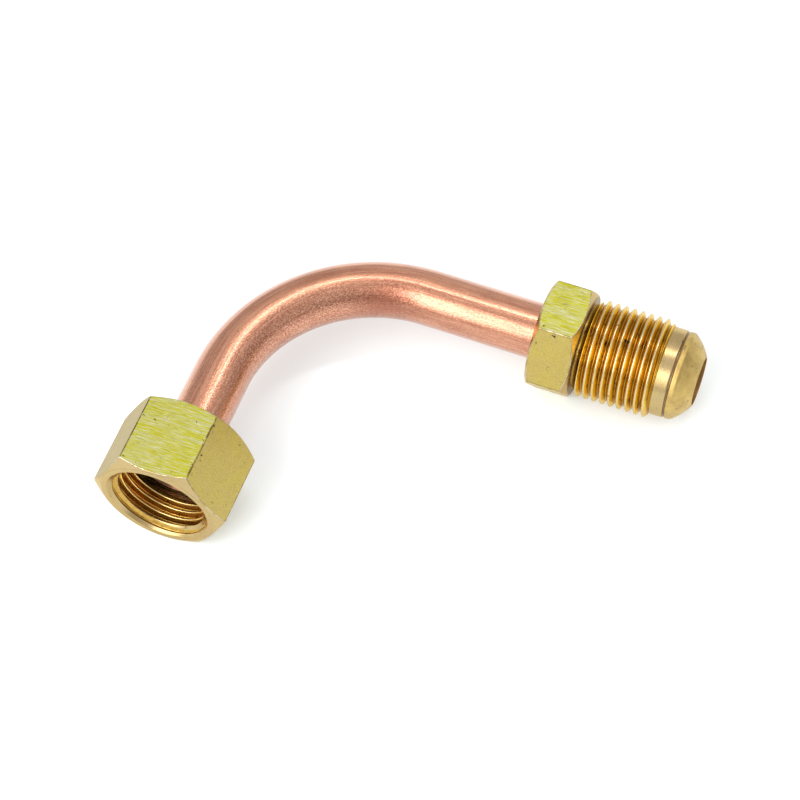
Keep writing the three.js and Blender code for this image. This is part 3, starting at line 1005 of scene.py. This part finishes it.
def washer(n):
    """A flat ring."""
    edge = 0.05 * MM
    front = n.washer_back + n.washer_thickness
    return plain_ring("washer_ring", [
        (n.washer_inner, n.washer_back, edge),
        (n.washer_outer, n.washer_back, edge),
        (n.washer_outer, front, edge),
        (n.washer_inner, front, edge),
    ], NOSE_LEG)


def braze(n, p):
    """A hollow-faced fillet, its foot wandering a little with three sines of the angle.

    Its face is a straight line from foot to foot, drawn in by a half sine along the line.
    """
    angles = even_angles(BRAZE_COLUMNS)
    gap = 0.05 * MM
    inner, front = p.radius + gap, n.back - gap
    wander = 0.06 * np.sin(3 * angles) + 0.04 * np.sin(7 * angles + 1) + 0.03 * np.sin(11 * angles)
    leg = n.braze_leg * (0.87 + wander)
    outline = [(np.full(BRAZE_COLUMNS, inner), front - leg, 0.1 * MM, TURNED)]
    for t in np.linspace(0, 1, 9)[1:-1]:
        drawn_in = 1 - math.sin(math.pi * t) * 0.35
        outline.append((inner + leg * t * drawn_in, front - leg * (1 - t) * drawn_in, 0, TURNED))
    outline += [
        (inner + leg, front, 0.1 * MM, TURNED),
        (np.full(BRAZE_COLUMNS, inner), front, 0.05 * MM, TURNED),
    ]
    radius, z, _, _ = rounded(outline)
    return ring("braze_ring", angles, radius, z, NOSE_LEG)


# ---- operators


class FITTING_OT_pipe(Operator):
    """Make the bent copper pipe with its flare."""

    bl_idname = "fitting.pipe"
    bl_label = "Copper Pipe"

    def execute(self, context):
        p = context.scene.fitting_pipe
        keep(bent_pipe(p), "pipe_assembly", "bent_pipe", copper_material(p))
        return {"FINISHED"}


class FITTING_OT_swivel_nut(Operator):
    """Make the swivel nut with its inside thread."""

    bl_idname = "fitting.swivel_nut"
    bl_label = "Swivel Nut"

    def execute(self, context):
        scene = context.scene
        thing = swivel_nut(scene.fitting_swivel_nut, scene.fitting_thread, scene.fitting_sleeve)
        finish = scene.fitting_finish
        material = brass_material(
            "milled_across", finish, *LINES_ACROSS, root_shade=0.12, flank=finish.inner_flank,
        )
        keep(thing, "swivel_nut_body", "swivel_nut", material)
        return {"FINISHED"}


class FITTING_OT_sleeve(Operator):
    """Make the sleeve that backs the flare."""

    bl_idname = "fitting.sleeve"
    bl_label = "Flare Sleeve"

    def execute(self, context):
        scene = context.scene
        thing = flare_sleeve(scene.fitting_sleeve, scene.fitting_pipe)
        material = turned_material("sleeve_brass", SLEEVE_LIGHT, SLEEVE_DARK)
        keep(thing, "sleeve_body", "flare_sleeve", material)
        return {"FINISHED"}


class FITTING_OT_male_nut(Operator):
    """Make the male nut with its outside thread."""

    bl_idname = "fitting.male_nut"
    bl_label = "Male Nut"

    def execute(self, context):
        scene = context.scene
        thing = male_nut(scene.fitting_male_nut, scene.fitting_thread)
        finish = scene.fitting_finish
        material = brass_material(
            "milled_along", finish, *LINES_ALONG, root_shade=0.85, flank=finish.flank,
        )
        keep(thing, "male_nut_body", "male_nut", material)
        return {"FINISHED"}


class FITTING_OT_nipple(Operator):
    """Make the ball-nosed nipple, its braze and the slip washer behind it."""

    bl_idname = "fitting.nipple"
    bl_label = "Ball-Nosed Nipple"

    def execute(self, context):
        scene = context.scene
        n, finish = scene.fitting_nipple, scene.fitting_finish
        nose = turned_material("satin_brass", finish.nose_gold, NOSE_DARK, (0.40, 0.54))
        steel = turned_material("blued_steel", finish.washer, WASHER_DARK)
        filler = turned_material("braze_metal", finish.braze, BRAZE_DARK, (0.4, 0.6))
        keep(ball_nose(n), "pipe_assembly", "ball_nose_nipple", nose)
        keep(washer(n), "washer_body", "slip_washer", steel)
        keep(braze(n, scene.fitting_pipe), "pipe_assembly", "braze_fillet", filler)
        return {"FINISHED"}


def aim(thing, place, target, roll=0.0):
    """Turns a camera or a lamp at a place to look at a target."""
    look = (Vector(target) - Vector(place)).to_track_quat("-Z", "Y").to_matrix().to_4x4()
    thing.matrix_world = Matrix.Translation(place) @ look @ Matrix.Rotation(roll, 4, "Z")


def floor_material(stage):
    """A pale sheet that glows a little from below, as a light table does."""
    t = Tree("studio_floor")
    cloud = t.noise(t.place(), 0.02, detail=2.0)
    clouded = [c * 0.99 for c in stage.floor_colour]
    base = t.mix(t.span(cloud, 0.3, 0.7), stage.floor_colour, clouded)
    return t.finish(
        base, 0.9, metallic=0.0, emission_color=(1, 1, 1, 1), emission_strength=0.25,
        specular_ior_level=0.0,
    )


def surroundings():
    """A pale room, brighter overhead and dimmer on three sides.

    Each side's share is 1 where the way looks along it and 0 far from it, by their cosine.
    """
    world = bpy.data.worlds.new("studio")
    world.use_nodes = True
    t = Tree.around(world.node_tree)
    way = t.node("ShaderNodeTexCoord").outputs["Generated"]
    level = 1.05
    for side, start, full, amount in ROOM_SIDES:
        side = Vector(side).normalized()
        cosine = t.node("ShaderNodeVectorMath", {0: way, 1: side}, operation="DOT_PRODUCT")
        share = t.span(cosine.outputs["Value"], start, full)
        level = t.plus(level, t.times(share, amount))
    background = t.node("ShaderNodeBackground", {"Strength": level})
    t.node("ShaderNodeOutputWorld", {"Surface": background.outputs["Background"]})
    return world


def stage_floor(stage):
    """A square sheet under the fitting."""
    low = min(CAD_BOX[0][2], 0.0)
    corners = np.array([(-1, -1, 0), (1, -1, 0), (1, 1, 0), (-1, 1, 0)]) * FLOOR_HALF
    faces = np.array([[0, 1, 2, 3]])
    floor = mesh_object("floor", corners + (0, 0, low), faces, {}, smooth=False)
    floor.data.materials.append(floor_material(stage))


def stage_camera(stage):
    """The camera, a distance from its aim point along its azimuth and elevation."""
    data = bpy.data.cameras.new("camera")
    data.lens = stage.focal
    data.sensor_width = 36.0
    data.clip_start = 0.01
    data.clip_end = 20.0
    camera = bpy.data.objects.new("camera", data)
    bpy.context.scene.collection.objects.link(camera)
    a, e = stage.azimuth, stage.elevation
    right = Vector((math.cos(a), math.sin(a), 0))
    inward = Vector((-math.sin(a), math.cos(a), 0))
    backward = Vector((math.sin(a) * math.cos(e), -math.cos(a) * math.cos(e), math.sin(e)))
    target = corner_point() + right * stage.aim_right - inward * stage.aim_near
    aim(camera, target + backward * stage.distance, target, stage.roll)
    return camera


def softbox(name, azimuth, elevation, size, turn, radiance):
    """A rectangle lamp; azimuth 0 is +Y and 90 degrees is +X. Power is radiance * pi * area."""
    azimuth, elevation = math.radians(azimuth), math.radians(elevation)
    flat = math.cos(elevation)
    way = Vector((flat * math.sin(azimuth), flat * math.cos(azimuth), math.sin(elevation)))
    data = bpy.data.lights.new(name, "AREA")
    data.shape = "RECTANGLE"
    data.size, data.size_y = size
    data.energy = radiance * math.pi * size[0] * size[1]
    thing = bpy.data.objects.new(name, data)
    bpy.context.scene.collection.objects.link(thing)
    aim(thing, LAMP_DISTANCE * way, LAMP_TARGET, math.radians(turn))


class FITTING_OT_stage(Operator):
    """Make the floor, the lights and the camera."""

    bl_idname = "fitting.stage"
    bl_label = "Studio Stage"

    def execute(self, context):
        scene = context.scene
        stage_floor(scene.fitting_stage)
        scene.camera = stage_camera(scene.fitting_stage)
        for lamp in LAMPS:
            softbox(*lamp)
        scene.world = surroundings()
        scene.view_settings.view_transform = "Standard"
        return {"FINISHED"}


class FITTING_PT_panel(Panel):
    """Lists the fitting's pieces in the sidebar."""

    bl_idname = "FITTING_PT_panel"
    bl_label = "Flare Fitting"
    bl_space_type = "VIEW_3D"
    bl_region_type = "UI"
    bl_category = "Fitting"

    def draw(self, context):
        for operator in OPERATORS:
            self.layout.operator(operator.bl_idname)


GROUPS = {
    "fitting_pipe": FITTING_PG_pipe,
    "fitting_thread": FITTING_PG_thread,
    "fitting_swivel_nut": FITTING_PG_swivel_nut,
    "fitting_sleeve": FITTING_PG_sleeve,
    "fitting_male_nut": FITTING_PG_male_nut,
    "fitting_nipple": FITTING_PG_nipple,
    "fitting_finish": FITTING_PG_finish,
    "fitting_stage": FITTING_PG_stage,
}
OPERATORS = (
    FITTING_OT_stage,
    FITTING_OT_pipe,
    FITTING_OT_sleeve,
    FITTING_OT_swivel_nut,
    FITTING_OT_nipple,
    FITTING_OT_male_nut,
)


def register():
    """Registers the property groups, the operators and the panel."""
    for group in GROUPS.values():
        bpy.utils.register_class(group)
    for name, group in GROUPS.items():
        setattr(bpy.types.Scene, name, PointerProperty(type=group))
    for operator in OPERATORS:
        bpy.utils.register_class(operator)
    bpy.utils.register_class(FITTING_PT_panel)


def unregister():
    """Takes back what register() did."""
    bpy.utils.unregister_class(FITTING_PT_panel)
    for operator in reversed(OPERATORS):
        bpy.utils.unregister_class(operator)
    for name, group in GROUPS.items():
        delattr(bpy.types.Scene, name)
        bpy.utils.unregister_class(group)


def main():
    register()
    for operator in OPERATORS:
        family, name = operator.bl_idname.split(".")
        getattr(getattr(bpy.ops, family), name)()


if __name__ == "__main__":
    main()
